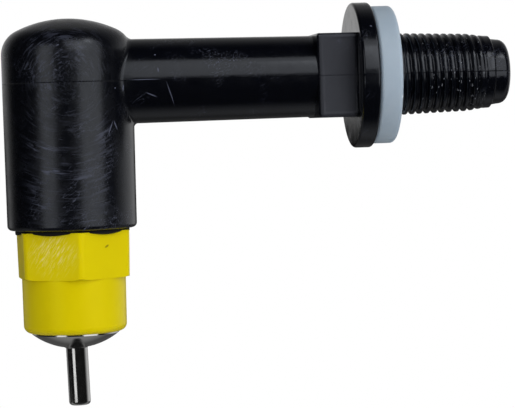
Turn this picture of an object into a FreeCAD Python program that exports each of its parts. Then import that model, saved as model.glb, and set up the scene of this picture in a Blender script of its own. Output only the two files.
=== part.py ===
import FreeCAD, Part
import math
import os

from FreeCAD import Vector

# Elbow nipple drinker for poultry: a moulded elbow that clamps into a bucket or
# tank wall and carries a valved drinking nipple, hanging straight down.
#
# Frame: the origin is the centre of the wall washer's sealing face, where it meets
# the wall. +X points out along the threaded spigot, +Z is up, and the elbow's
# split line lies in the plane Z = 0. All sizes are millimetres.

# --- elbow: one moulded piece ------------------------------------------------------
SOCKET_X = -51.4              # axis of the socket that holds the nipple
SOCKET_R = 10.25
SOCKET_MOUTH_Z = -22.8
SOCKET_MOUTH_CHAMFER = 0.45
DOME_TOP_Z = 10.05
DOME_SPHERE_R = 18.0
DOME_CORNER_R = 4.2
DOME_SHOULDER_CONES = 3

ARM_R = 6.52
SADDLE_ROUND = 0.5

COLLAR_X = (-12.75, -6.45)    # square for a spanner
COLLAR_FLATS = 13.2
COLLAR_CORNER_CHAMFER = 0.7
COLLAR_END_CHAMFER = 1.1

FLANGE_R = 11.5
FLANGE_THICKNESS = 2.85
FLANGE_CHAMFER = 0.3

SPIGOT_R = 6.55               # major radius of the tapered thread at the washer
SPIGOT_TAPER = 1.0 / 32.0     # loss of radius along the axis, as on a pipe thread
SPIGOT_THREAD_LENGTH = 12.6
SPIGOT_RUNOUT_LENGTH = 2.9    # the crests die away over this length
SPIGOT_RUNOUT_R = 5.75
NOSE_R = 5.2
NOSE_END_X = 18.5
NOSE_CHAMFER = 0.7

CHANNEL_R = 3.2               # water way from the nose to the socket
CHANNEL_MOUTH_CHAMFER = 0.5
NIPPLE_BORE_R = 7.3           # socket bore that the nipple's stem screws into
NIPPLE_BORE_TOP_Z = -9.6
CHAMBER_R = 6.0
CHAMBER_TOP_Z = 4.6

# --- soft seals ----------------------------------------------------------------------
WASHER_R = 10.95
WASHER_THICKNESS = 3.6
WASHER_CHAMFER = 0.4
SEAL_R = 9.1
SEAL_THICKNESS = 0.3

# --- nipple housing: one moulded piece -------------------------------------------------
STEM_TOP_Z = -11.2
HEX_FLATS_TOP = 16.6
HEX_FLATS_BOTTOM = 16.35
HEX_HEIGHT = 7.3
HEX_TURN_DEG = 5.2            # how far the hexagon stopped from square to the arm
HEX_END_CHAMFER = 0.35
SKIRT_R = 8.1
SKIRT_BOTTOM_Z = -38.95
SKIRT_LIP_CHAMFER = 0.8
STEM_CORE_R = 5.0
STEM_CORE_BOTTOM_Z = -26.4
INLET_R = 3.0

# --- stainless valve set ---------------------------------------------------------------
CUP_R = 6.8                   # pressed into the skirt
CUP_TOP_Z = -29.6
CUP_CAP_SPHERE_R = 11.0       # the cup's convex bottom
CUP_BOTTOM_Z = -41.55         # where the sphere would close, had it no hole
CUP_BORE_R = 4.4
SEAT_BORE_R = 4.8             # counterbore that holds the metering seat
SEAT_BORE_BOTTOM_Z = -32.4
TRIGGER_HOLE_R = 2.4
TRIGGER_SEAT_SLOPE_DEG = 50.0
RING_GROOVE_Z = -34.6
RING_GROOVE_WIDTH = 1.4
RING_THICKNESS = 1.14
RING_SQUEEZE_GAP = 0.01

METERING_SEAT_THICKNESS = 1.8
METERING_HOLE_R = 1.3
METERING_CONE_R = 2.3

METERING_STEM_R = 0.9
METERING_HEAD_R = 2.0
METERING_HEAD_HEIGHT = 1.2
METERING_STEM_GAP = 0.35      # between this stem and the trigger's head at rest

PIVOT_ABOVE_CUP_BOTTOM = 3.2  # centre of the trigger's ball head
BALL_R = 3.6
BALL_SEAT_GAP = 0.04
HEAD_R = 3.3
HEAD_TOP_ABOVE_PIVOT = 0.4
TRIGGER_R = 1.7
TRIGGER_END_Z = -50.55
TRIGGER_END_CHAMFER = 0.4
TRIGGER_LEAN_DEG = 1.5        # the loose pin leans towards the wall

X_AXIS = Vector(1, 0, 0)
Y_AXIS = Vector(0, 1, 0)
Z_AXIS = Vector(0, 0, 1)

FLANGE_X = (-WASHER_THICKNESS - FLANGE_THICKNESS, -WASHER_THICKNESS)
HEX_TOP_Z = SOCKET_MOUTH_Z - SEAL_THICKNESS
HEX_BOTTOM_Z = HEX_TOP_Z - HEX_HEIGHT
PIVOT_Z = CUP_BOTTOM_Z + PIVOT_ABOVE_CUP_BOTTOM
TRIGGER_PIVOT = Vector(SOCKET_X, 0, PIVOT_Z)


# --- helpers ---------------------------------------------------------------------------
def flat_face(corners):
    """Face in the XZ plane. A corner is (u, v), or (u, v, chamfer) to cut it back."""
    points = [Vector(corner[0], 0, corner[1]) for corner in corners]
    outline = []
    for i, point in enumerate(points):
        chamfer = corners[i][2] if len(corners[i]) > 2 else 0.0
        before = (points[i - 1] - point).normalize()
        after = (points[(i + 1) % len(points)] - point).normalize()
        if chamfer > 0:
            outline.append(point + before * chamfer)
            outline.append(point + after * chamfer)
        else:
            outline.append(point)
    outline.append(outline[0])
    return Part.Face(Part.makePolygon(outline))


def turned_about_nipple(corners):
    """Solid turned about the socket's axis from (radius, z) corners."""
    face = flat_face(corners)
    face.translate(Vector(SOCKET_X, 0, 0))
    return face.revolve(Vector(SOCKET_X, 0, 0), Z_AXIS, 360)


def turned_about_arm(corners):
    """Solid turned about the arm's axis from (x, radius) corners."""
    return flat_face(corners).revolve(Vector(0, 0, 0), X_AXIS, 360)


def sphere_on_nipple_axis(radius, centre_z):
    """Ball whose poles lie level, clear of the surface that is used."""
    return Part.makeSphere(radius, Vector(SOCKET_X, 0, centre_z), Y_AXIS)


def edges_where(shape, test):
    return [edge for edge in shape.Edges if test(edge)]


def circle_at_height(edge, z):
    return abs(edge.BoundBox.ZMin - z) < 0.01 and abs(edge.BoundBox.ZMax - z) < 0.01


# --- elbow -----------------------------------------------------------------------------
def elbow_dome():
    """Shallow domed top: a sphere's cap, and a shoulder of three cones round its edge."""
    sphere_z = DOME_TOP_Z - DOME_SPHERE_R
    round_r = SOCKET_R - DOME_CORNER_R
    round_z = sphere_z + math.sqrt((DOME_SPHERE_R - DOME_CORNER_R) ** 2 - round_r ** 2)
    slope_at_cap = math.atan2(round_z - sphere_z, round_r)
    step = slope_at_cap / (DOME_SHOULDER_CONES + 1)
    corner_reach = DOME_CORNER_R / math.cos(step / 2)
    outline = [(0, 0), (SOCKET_R, 0)]
    for k in range(DOME_SHOULDER_CONES + 1):
        slope = (k + 0.5) * step
        outline.append((round_r + corner_reach * math.cos(slope), round_z + corner_reach * math.sin(slope)))
    outline.append((0, DOME_TOP_Z + 1.0))
    cap = sphere_on_nipple_axis(DOME_SPHERE_R, sphere_z)
    return turned_about_nipple(outline).common(cap)


def elbow_socket():
    """Round socket under the dome."""
    lower = turned_about_nipple([
        (0, 0),
        (SOCKET_R, 0),
        (SOCKET_R, SOCKET_MOUTH_Z, SOCKET_MOUTH_CHAMFER),
        (0, SOCKET_MOUTH_Z),
    ])
    return elbow_dome().fuse(lower).removeSplitter()


def elbow_arm():
    """Round arm from the socket's axis to the spanner collar."""
    length = COLLAR_X[0] - SOCKET_X
    return Part.makeCylinder(ARM_R, length, Vector(SOCKET_X, 0, 0), X_AXIS)


def spanner_collar():
    """Square collar whose far end is turned down to meet the arm."""
    half = COLLAR_FLATS / 2.0
    length = FLANGE_X[0] - COLLAR_X[0] + 1.0
    block = Part.makeBox(length, COLLAR_FLATS, COLLAR_FLATS, Vector(COLLAR_X[0], -half, -half))
    long_edges = edges_where(block, lambda e: e.BoundBox.XLength > length - 0.01)
    block = block.makeChamfer(COLLAR_CORNER_CHAMFER, long_edges)
    corner_r = half * math.sqrt(2.0)
    lead_length = corner_r - ARM_R
    lead = turned_about_arm([
        (COLLAR_X[0], 0),
        (COLLAR_X[0], ARM_R),
        (COLLAR_X[0] + COLLAR_END_CHAMFER, ARM_R + lead_length),
        (COLLAR_X[0] + length, ARM_R + lead_length),
        (COLLAR_X[0] + length, 0),
    ])
    return block.common(lead)


def flange():
    return turned_about_arm([
        (FLANGE_X[0], 0),
        (FLANGE_X[0], FLANGE_R, FLANGE_CHAMFER),
        (FLANGE_X[1], FLANGE_R, FLANGE_CHAMFER),
        (FLANGE_X[1], 0),
    ])


def spigot():
    """Tapered spigot at its crest size, its run-out, and the plain nose."""
    crest_end_r = SPIGOT_R - SPIGOT_TAPER * SPIGOT_THREAD_LENGTH
    runout_x = SPIGOT_THREAD_LENGTH + SPIGOT_RUNOUT_LENGTH
    return turned_about_arm([
        (FLANGE_X[1] - 1.0, 0),
        (FLANGE_X[1] - 1.0, SPIGOT_R),
        (0, SPIGOT_R),
        (SPIGOT_THREAD_LENGTH, crest_end_r),
        (runout_x, SPIGOT_RUNOUT_R),
        (runout_x + 0.4, NOSE_R),
        (NOSE_END_X, NOSE_R, NOSE_CHAMFER),
        (NOSE_END_X, 0),
    ])


def elbow_water_way():
    """Everything that the mould's cores leave hollow."""
    channel_length = NOSE_END_X - SOCKET_X
    channel = Part.makeCylinder(CHANNEL_R, channel_length, Vector(SOCKET_X, 0, 0), X_AXIS)
    mouth = Part.makeCone(CHANNEL_R, CHANNEL_R + CHANNEL_MOUTH_CHAMFER, CHANNEL_MOUTH_CHAMFER,
                          Vector(NOSE_END_X - CHANNEL_MOUTH_CHAMFER, 0, 0), X_AXIS)
    chamber = turned_about_nipple([
        (0, CHAMBER_TOP_Z),
        (CHAMBER_R, CHAMBER_TOP_Z),
        (CHAMBER_R, NIPPLE_BORE_TOP_Z),
        (NIPPLE_BORE_R, NIPPLE_BORE_TOP_Z),
        (NIPPLE_BORE_R, SOCKET_MOUTH_Z - 1.0),
        (0, SOCKET_MOUTH_Z - 1.0),
    ])
    return channel.fuse([mouth, chamber])


def elbow_body():
    joined = elbow_socket().fuse(elbow_arm()).removeSplitter()
    socket_side = SOCKET_X + SOCKET_R + 0.5

    def is_saddle(edge):
        box = edge.BoundBox
        return box.XMin > SOCKET_X + 4 and box.XMax < socket_side and box.XLength > 0.2

    joined = joined.makeFillet(SADDLE_ROUND, edges_where(joined, is_saddle))
    joined = joined.fuse([spanner_collar(), flange(), spigot()]).removeSplitter()
    return joined.cut(elbow_water_way())


# --- seals -----------------------------------------------------------------------------
def wall_washer():
    return turned_about_arm([
        (-WASHER_THICKNESS, SPIGOT_R),
        (-WASHER_THICKNESS, WASHER_R, WASHER_CHAMFER),
        (0, WASHER_R, WASHER_CHAMFER),
        (0, SPIGOT_R),
    ])


def socket_seal():
    return turned_about_nipple([
        (NIPPLE_BORE_R, SOCKET_MOUTH_Z),
        (SEAL_R, SOCKET_MOUTH_Z),
        (SEAL_R, HEX_TOP_Z),
        (NIPPLE_BORE_R, HEX_TOP_Z),
    ])


def seat_ring():
    """Square-cut ring in the cup's groove."""
    outer_r = CUP_R - RING_SQUEEZE_GAP
    inner_r = outer_r - RING_THICKNESS
    top_z = RING_GROOVE_Z + RING_THICKNESS / 2.0
    bottom_z = RING_GROOVE_Z - RING_THICKNESS / 2.0
    return turned_about_nipple([
        (inner_r, top_z),
        (outer_r, top_z),
        (outer_r, bottom_z),
        (inner_r, bottom_z),
    ])


# --- nipple housing ----------------------------------------------------------------------
def hexagon(flats, z):
    corner_r = flats / 2.0 / math.cos(math.pi / 6)
    points = []
    for k in range(7):
        angle = math.radians(HEX_TURN_DEG + 60 * k - 90)
        points.append(Vector(SOCKET_X + corner_r * math.cos(angle), corner_r * math.sin(angle), z))
    return Part.makePolygon(points)


def housing_hexagon():
    """Drafted hexagon with its corners turned off at both ends."""
    prism = Part.makeLoft([hexagon(HEX_FLATS_TOP, HEX_TOP_Z), hexagon(HEX_FLATS_BOTTOM, HEX_BOTTOM_Z)],
                          True, True)
    corner_r = HEX_FLATS_TOP / 2.0 / math.cos(math.pi / 6)
    turned = turned_about_nipple([
        (0, HEX_TOP_Z),
        (corner_r - HEX_END_CHAMFER, HEX_TOP_Z),
        (corner_r, HEX_TOP_Z - HEX_END_CHAMFER),
        (corner_r, HEX_BOTTOM_Z + HEX_END_CHAMFER * 2),
        (corner_r - HEX_END_CHAMFER * 2, HEX_BOTTOM_Z),
        (0, HEX_BOTTOM_Z),
    ])
    return prism.common(turned)


def nipple_housing():
    stem = turned_about_nipple([
        (0, STEM_TOP_Z),
        (NIPPLE_BORE_R, STEM_TOP_Z),
        (NIPPLE_BORE_R, HEX_TOP_Z - 1.0),
        (0, HEX_TOP_Z - 1.0),
    ])
    skirt = turned_about_nipple([
        (0, HEX_BOTTOM_Z + 1.0),
        (SKIRT_R, HEX_BOTTOM_Z + 1.0),
        (SKIRT_R, SKIRT_BOTTOM_Z, SKIRT_LIP_CHAMFER),
        (0, SKIRT_BOTTOM_Z),
    ])
    hollow = turned_about_nipple([
        (0, STEM_TOP_Z + 1.0),
        (STEM_CORE_R, STEM_TOP_Z + 1.0),
        (STEM_CORE_R, STEM_CORE_BOTTOM_Z),
        (INLET_R, STEM_CORE_BOTTOM_Z),
        (INLET_R, CUP_TOP_Z),
        (CUP_R, CUP_TOP_Z),
        (CUP_R, SKIRT_BOTTOM_Z - 1.0),
        (0, SKIRT_BOTTOM_Z - 1.0),
    ])
    solid = stem.fuse([housing_hexagon(), skirt]).removeSplitter()
    return solid.cut(hollow)


# --- valve set ---------------------------------------------------------------------------
def trigger_seat_cone():
    """Where the ball touches the seat: the cone's radius and height there."""
    slope = math.radians(TRIGGER_SEAT_SLOPE_DEG)
    ball_r = BALL_R + BALL_SEAT_GAP
    return ball_r * math.sin(slope), PIVOT_Z - ball_r * math.cos(slope), math.tan(slope)


def valve_cup():
    """Turned cup: bore for the valve set, conical trigger seat and a convex bottom."""
    touch_r, touch_z, rise = trigger_seat_cone()
    seat_bottom_z = touch_z - (touch_r - TRIGGER_HOLE_R) * rise
    seat_top_z = touch_z + (CUP_BORE_R - touch_r) * rise
    body = turned_about_nipple([
        (TRIGGER_HOLE_R, CUP_BOTTOM_Z - 1.0),
        (TRIGGER_HOLE_R, seat_bottom_z),
        (CUP_BORE_R, seat_top_z),
        (CUP_BORE_R, SEAT_BORE_BOTTOM_Z),
        (SEAT_BORE_R, SEAT_BORE_BOTTOM_Z),
        (SEAT_BORE_R, CUP_TOP_Z),
        (CUP_R, CUP_TOP_Z),
        (CUP_R, CUP_BOTTOM_Z - 1.0),
    ])
    groove_half = RING_GROOVE_WIDTH / 2.0
    groove_r = CUP_R - RING_THICKNESS - 2 * RING_SQUEEZE_GAP
    groove = turned_about_nipple([
        (groove_r, RING_GROOVE_Z - groove_half),
        (CUP_R + 1.0, RING_GROOVE_Z - groove_half),
        (CUP_R + 1.0, RING_GROOVE_Z + groove_half),
        (groove_r, RING_GROOVE_Z + groove_half),
    ])
    cap = sphere_on_nipple_axis(CUP_CAP_SPHERE_R, CUP_BOTTOM_Z + CUP_CAP_SPHERE_R)
    above = Part.makeCylinder(CUP_R + 1.0, CUP_TOP_Z - SKIRT_BOTTOM_Z + 1.0,
                              Vector(SOCKET_X, 0, SKIRT_BOTTOM_Z), Z_AXIS)
    return body.common(cap.fuse(above)).cut(groove)


def metering_seat():
    """Pressed disc with the small hole that meters the water."""
    top_z = SEAT_BORE_BOTTOM_Z + METERING_SEAT_THICKNESS
    cone_depth = METERING_CONE_R - METERING_HOLE_R
    return turned_about_nipple([
        (METERING_HOLE_R, SEAT_BORE_BOTTOM_Z),
        (SEAT_BORE_R, SEAT_BORE_BOTTOM_Z),
        (SEAT_BORE_R, top_z),
        (METERING_CONE_R, top_z),
        (METERING_HOLE_R, top_z - cone_depth),
    ])


def metering_pin():
    """Upper stem: a countersunk head on the metering seat, its stem above the trigger."""
    seat_top_z = SEAT_BORE_BOTTOM_Z + METERING_SEAT_THICKNESS
    head_bottom_z = seat_top_z - (METERING_CONE_R - METERING_HEAD_R) + BALL_SEAT_GAP
    stem_end_z = PIVOT_Z + HEAD_TOP_ABOVE_PIVOT + METERING_STEM_GAP
    return turned_about_nipple([
        (0, stem_end_z),
        (METERING_STEM_R, stem_end_z),
        (METERING_STEM_R, head_bottom_z - (METERING_HEAD_R - METERING_STEM_R)),
        (METERING_HEAD_R, head_bottom_z),
        (METERING_HEAD_R, head_bottom_z + METERING_HEAD_HEIGHT),
        (0, head_bottom_z + METERING_HEAD_HEIGHT),
    ])


def trigger_pin():
    """Pin that the bird pecks, leaning about the centre of its ball-faced head."""
    head = turned_about_nipple([
        (0, PIVOT_Z + HEAD_TOP_ABOVE_PIVOT),
        (HEAD_R, PIVOT_Z + HEAD_TOP_ABOVE_PIVOT),
        (HEAD_R, PIVOT_Z - BALL_R),
        (0, PIVOT_Z - BALL_R),
    ])
    stem = turned_about_nipple([
        (0, PIVOT_Z),
        (TRIGGER_R, PIVOT_Z),
        (TRIGGER_R, TRIGGER_END_Z, TRIGGER_END_CHAMFER),
        (0, TRIGGER_END_Z),
    ])
    pin = head.common(sphere_on_nipple_axis(BALL_R, PIVOT_Z)).fuse(stem).removeSplitter()
    pin.rotate(TRIGGER_PIVOT, Y_AXIS, -TRIGGER_LEAN_DEG)
    return pin


NODES = {
    "elbow_body": elbow_body,
    "wall_washer": wall_washer,
    "socket_seal": socket_seal,
    "nipple_housing": nipple_housing,
    "valve_cup": valve_cup,
    "seat_ring": seat_ring,
    "metering_seat": metering_seat,
    "metering_pin": metering_pin,
    "trigger_pin": trigger_pin,
}

os.makedirs("parts", exist_ok=True)
for node, build in NODES.items():
    shape = build()
    shape.exportStep("parts/" + node + ".step")
    print(node, "valid", shape.isValid(), "solids", len(shape.Solids), "volume", round(shape.Volume, 1))
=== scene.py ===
# %% [markdown]
# An elbow nipple drinker for poultry, modelled in Blender.
#
# The real thing is a small moulded elbow. Its threaded spigot goes through the wall of
# a bucket, water runs along the arm, and a bird pecks the steel pin that hangs from the
# yellow nipple. The solid model comes first, as a fixed frame, and says where every
# surface is. This lesson gives each piece the form and finish that a solid model leaves
# out: moulding rounds, a split line, a screw thread, soft rubber and worn plastic.

# %% The frame
import math

import bmesh
import bpy
from mathutils import Matrix, Vector, noise


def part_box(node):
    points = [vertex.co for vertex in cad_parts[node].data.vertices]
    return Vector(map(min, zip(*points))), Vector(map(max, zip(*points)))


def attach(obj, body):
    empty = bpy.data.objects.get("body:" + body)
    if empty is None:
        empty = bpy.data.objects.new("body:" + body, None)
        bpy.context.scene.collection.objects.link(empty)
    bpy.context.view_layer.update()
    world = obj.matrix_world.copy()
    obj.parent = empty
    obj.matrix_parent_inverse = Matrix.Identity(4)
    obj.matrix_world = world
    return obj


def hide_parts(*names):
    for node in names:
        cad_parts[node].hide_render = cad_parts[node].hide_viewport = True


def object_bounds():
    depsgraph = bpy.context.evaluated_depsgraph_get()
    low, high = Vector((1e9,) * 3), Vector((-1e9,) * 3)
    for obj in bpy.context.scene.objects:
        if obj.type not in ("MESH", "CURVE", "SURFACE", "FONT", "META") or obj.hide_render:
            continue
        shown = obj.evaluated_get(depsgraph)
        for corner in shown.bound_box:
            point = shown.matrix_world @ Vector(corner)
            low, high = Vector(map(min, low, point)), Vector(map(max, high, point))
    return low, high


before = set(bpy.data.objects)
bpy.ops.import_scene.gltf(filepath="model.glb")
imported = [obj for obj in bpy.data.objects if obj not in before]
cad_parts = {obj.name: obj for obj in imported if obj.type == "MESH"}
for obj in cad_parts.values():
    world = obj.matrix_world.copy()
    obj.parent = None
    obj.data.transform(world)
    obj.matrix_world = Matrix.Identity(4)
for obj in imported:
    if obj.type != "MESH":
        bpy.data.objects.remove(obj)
cad_box = [list(corner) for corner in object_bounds()]
MM = 0.001
print("CAD box in mm:", [[round(v / MM, 2) for v in corner] for corner in cad_box])

# %% [markdown]
# Sizes are in millimetres, and MM turns them to metres where they are used. The elbow
# has two axes: the arm and spigot turn about X, and the socket and nipple turn about an
# upright axis at NIPPLE_X.

# %% Main sizes
NIPPLE_X = -51.4
WASHER_BACK_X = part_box("wall_washer")[0].x / MM
HEX_TOP_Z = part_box("socket_seal")[0].z / MM
MOUTH_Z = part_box("socket_seal")[1].z / MM
ROUND_STEPS = 128
print("washer from", round(WASHER_BACK_X, 2), "to 0, socket mouth at", round(MOUTH_Z, 2))

# %% [markdown]
# Most pieces here are turned shapes, so one helper draws half an outline and spins it.
# An outline is a chain of moves: "to" goes straight to a point, in one or more equal
# parts, and "arc" swings the last point about a centre, which is a spin as well. A long
# side needs those parts, or the shading of a small round at its end spreads over it. A
# full spin needs use_merge, so that its last ring is its first, and points on the axis
# are merged into one pole.

# %% Outline and turning helpers
def draw_outline(bm, start, moves):
    """Chain of edges in the XZ plane, from (u, v) moves in millimetres."""
    last = bm.verts.new(Vector((start[0], 0, start[1])) * MM)
    for move in moves:
        if move[0] == "to":
            here, there = last.co.copy(), Vector((move[1], 0, move[2])) * MM
            parts = move[3] if len(move) > 3 else 1
            for part in range(1, parts + 1):
                point = bm.verts.new(here.lerp(there, part / parts))
                bm.edges.new((last, point))
                last = point
        else:
            centre_u, centre_v, degrees, steps = move[1:]
            swung = bmesh.ops.spin(bm, geom=[last], cent=Vector((centre_u, 0, centre_v)) * MM,
                                   axis=(0, 1, 0), angle=math.radians(degrees), steps=steps)
            last = swung["geom_last"][0]
    return last


def turn(bm, centre, axis, steps=ROUND_STEPS):
    """Spins the drawn outline once round an axis and closes its seam and poles."""
    bmesh.ops.spin(bm, geom=bm.verts[:] + bm.edges[:], cent=centre, axis=axis,
                   angle=math.tau, steps=steps, use_merge=True)
    bmesh.ops.remove_doubles(bm, verts=bm.verts, dist=0.0005 * MM)
    bmesh.ops.recalc_face_normals(bm, faces=bm.faces)
    return bm


def turned_about_nipple(start, moves, steps=ROUND_STEPS):
    """Outline points are (radius, height)."""
    bm = bmesh.new()
    draw_outline(bm, start, moves)
    turn(bm, (0, 0, 0), (0, 0, 1), steps)
    bmesh.ops.translate(bm, verts=bm.verts, vec=(NIPPLE_X * MM, 0, 0))
    return bm


def turned_about_arm(start, moves, steps=ROUND_STEPS):
    """Outline points are (x, radius)."""
    bm = bmesh.new()
    draw_outline(bm, start, moves)
    return turn(bm, (0, 0, 0), (1, 0, 0), steps)


def open_edges(bm):
    return sum(1 for edge in bm.edges if len(edge.link_faces) != 2)


def finish_piece(name, bm, body, sharp_degrees=35):
    """Makes the object, shades it smooth up to an angle, and lets it ride on a body."""
    bmesh.ops.recalc_face_normals(bm, faces=bm.faces)
    print(name, "open edges", open_edges(bm), "faces", len(bm.faces))
    mesh = bpy.data.meshes.new(name)
    bm.to_mesh(mesh)
    bm.free()
    mesh.shade_smooth()
    mesh.set_sharp_from_angle(angle=math.radians(sharp_degrees))
    piece = bpy.data.objects.new(name, mesh)
    bpy.context.scene.collection.objects.link(piece)
    even = piece.modifiers.new("even_shading", "WEIGHTED_NORMAL")
    even.keep_sharp = True
    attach(piece, body)
    return piece


# %% [markdown]
# Moulded shapes that meet at odd angles are easiest to make apart and then add or cut,
# as the toolmaker does with the mould's cores. The Boolean modifier does that; it is
# applied at once, so the piece stays a plain mesh.

# %% Boolean helper
def combine(base, tool, operation):
    """Returns base with tool joined to it or cut from it, as a new bmesh."""
    objects = []
    for label, bm in (("base", base), ("tool", tool)):
        mesh = bpy.data.meshes.new(label)
        bm.to_mesh(mesh)
        bm.free()
        scratch = bpy.data.objects.new(label, mesh)
        bpy.context.scene.collection.objects.link(scratch)
        objects.append(scratch)
    step = objects[0].modifiers.new("combine", "BOOLEAN")
    step.operation = operation
    step.solver = "EXACT"
    step.object = objects[1]
    graph = bpy.context.evaluated_depsgraph_get()
    result = bmesh.new()
    result.from_object(objects[0], graph)
    for scratch in objects:
        mesh = scratch.data
        bpy.data.objects.remove(scratch)
        bpy.data.meshes.remove(mesh)
    bmesh.ops.remove_doubles(result, verts=result.verts, dist=0.0005 * MM)
    bmesh.ops.dissolve_degenerate(result, edges=result.edges, dist=0.0002 * MM)
    return result


# %% [markdown]
# The elbow's socket is a plain turned body under a shallow dome. The dome is a cap of a
# large ball, and a tighter round carries it into the side. The side is drafted: it is
# a little wider at the split line than at the mouth, or it would stick in the mould.

# %% Elbow: the socket
SOCKET_R = 10.25
SOCKET_MOUTH_R = 10.13
DOME_TOP_Z = 10.05
DOME_R = 18.0
DOME_CORNER_R = 4.2
MOUTH_ROUND = 0.7

corner_centre_r = SOCKET_R - DOME_CORNER_R
dome_centre_z = DOME_TOP_Z - DOME_R
corner_centre_z = dome_centre_z + math.sqrt((DOME_R - DOME_CORNER_R) ** 2 - corner_centre_r ** 2)
cap_degrees = 90 - math.degrees(math.atan2(corner_centre_z - dome_centre_z, corner_centre_r))

socket = turned_about_nipple((0, DOME_TOP_Z), [
    ("arc", 0, dome_centre_z, cap_degrees, 14),
    ("arc", corner_centre_r, corner_centre_z, 90 - cap_degrees, 14),
    ("to", SOCKET_R, 0, 4),
    ("to", SOCKET_MOUTH_R, MOUTH_Z + MOUTH_ROUND, 18),
    ("arc", SOCKET_MOUTH_R - MOUTH_ROUND, MOUTH_Z + MOUTH_ROUND, 90, 6),
    ("to", 0, MOUTH_Z),
])
print("socket faces", len(socket.faces), "dome cap spans", round(cap_degrees, 1), "degrees")

# %% [markdown]
# The arm, the flange and the root of the spigot are one turned outline along X. Where
# the arm leaves the socket, the mould has a small round. A turned ring is flat, but the
# socket's side is curved, so the first rings are turned flat and then each point is
# pushed along X by as much as the socket's side falls away there.

# %% Elbow: arm and flange
ARM_R_AT_SOCKET = 6.62
ARM_R_AT_COLLAR = 6.42
COLLAR_X = -12.75
FLANGE_X = (-6.45, WASHER_BACK_X)
FLANGE_R = 11.5
FLANGE_ROUND = 0.45
SPIGOT_ROOT_X = -1.8
SPIGOT_R = 6.55
SADDLE_ROUND = 0.55

socket_side_x = NIPPLE_X + SOCKET_R
saddle_rings = [(socket_side_x - 0.30, ARM_R_AT_SOCKET + 0.85)]
for tenth in (1, 2, 3.5, 5.5, 8, 10):
    away = SADDLE_ROUND * tenth / 10
    lift = SADDLE_ROUND - math.sqrt(SADDLE_ROUND ** 2 - (SADDLE_ROUND - away) ** 2)
    saddle_rings.append((socket_side_x + away, ARM_R_AT_SOCKET + lift))

arm = turned_about_arm((NIPPLE_X, 0), [
    ("to", NIPPLE_X, ARM_R_AT_SOCKET - 1.0),
    ("to", socket_side_x - 4.5, ARM_R_AT_SOCKET - 1.0),
] + [("to", x, r) for x, r in saddle_rings] + [
    ("to", COLLAR_X, ARM_R_AT_COLLAR, 20),
    ("to", FLANGE_X[0], ARM_R_AT_COLLAR),
    ("to", FLANGE_X[0], FLANGE_R - FLANGE_ROUND),
    ("arc", FLANGE_X[0] + FLANGE_ROUND, FLANGE_R - FLANGE_ROUND, 90, 5),
    ("to", FLANGE_X[1] - FLANGE_ROUND, FLANGE_R),
    ("arc", FLANGE_X[1] - FLANGE_ROUND, FLANGE_R - FLANGE_ROUND, 90, 5),
    ("to", FLANGE_X[1], SPIGOT_R),
    ("to", SPIGOT_ROOT_X, SPIGOT_R),
    ("to", SPIGOT_ROOT_X, 0),
])
for vert in arm.verts:
    x, y, z = vert.co / MM
    if -0.5 < x - socket_side_x < 0.7:
        up_dome = min(max(z - corner_centre_z, 0.0), DOME_CORNER_R)
        side_r = corner_centre_r + math.sqrt(DOME_CORNER_R ** 2 - up_dome ** 2)
        vert.co.x -= (SOCKET_R - math.sqrt(side_r ** 2 - y * y)) * MM
print("arm faces", len(arm.faces))

# %% [markdown]
# The collar is a square for a spanner. It starts from a small square with rounded
# corners, which is pulled along X in steps: a drawn-in end, a rim, the flats, and a part
# inside the flange. The thick plastic behind each flat shrank as it cooled, so the flat
# sank and left a raised frame. Two insets make that frame and its inner slope.

# %% Elbow: the spanner collar
COLLAR_FLATS = 13.2
COLLAR_DRAW_IN = 0.25
COLLAR_RIM = 0.45
SINK_DEPTH = 0.16

collar = bmesh.new()
bmesh.ops.create_grid(collar, x_segments=1, y_segments=1,
    size=(COLLAR_FLATS / 2 - COLLAR_DRAW_IN) * MM,
                      matrix=Matrix.Translation((COLLAR_X * MM, 0,
                      0)) @ Matrix.Rotation(math.pi / 2, 4, "Y"))
bmesh.ops.bevel(collar, geom=collar.verts[:], offset=0.55 * MM, segments=4, profile=0.5,
                affect="VERTICES", material=-1)
end_face = next(iter(collar.faces))
flats_length = FLANGE_X[0] - COLLAR_X - COLLAR_DRAW_IN - COLLAR_RIM
for step, length in enumerate((COLLAR_DRAW_IN, COLLAR_RIM, flats_length, 1.0)):
    pulled = bmesh.ops.extrude_face_region(collar, geom=[end_face])["geom"]
    end_verts = [item for item in pulled if isinstance(item, bmesh.types.BMVert)]
    new_face = [item for item in pulled if isinstance(item, bmesh.types.BMFace)][0]
    if step:
        collar.faces.remove(end_face)
    end_face = new_face
    bmesh.ops.translate(collar, verts=end_verts, vec=(length * MM, 0, 0))
    if step == 0:
        grow = (COLLAR_FLATS / 2) / (COLLAR_FLATS / 2 - COLLAR_DRAW_IN)
        bmesh.ops.scale(collar, verts=end_verts, vec=(1, grow, grow))
bmesh.ops.recalc_face_normals(collar, faces=collar.faces)
flats = [f for f in collar.faces if abs(f.normal.x) < 0.1 and f.calc_area() > 40 * MM * MM]
bmesh.ops.inset_individual(collar, faces=flats, thickness=0.25 * MM, depth=0)
bmesh.ops.inset_individual(collar, faces=flats, thickness=0.4 * MM, depth=-SINK_DEPTH * MM)
print("collar flats", len(flats), "open edges", open_edges(collar))

# %% [markdown]
# The mould's cores leave the water way: a bore along the arm, and a wider one up the
# socket for the nipple's stem.

# %% Elbow: joined and cored
CHANNEL_R = 3.2
NIPPLE_BORE_R = 7.3
NIPPLE_BORE_TOP_Z = -9.6
CHAMBER_R = 6.0
CHAMBER_TOP_Z = 4.6

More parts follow.
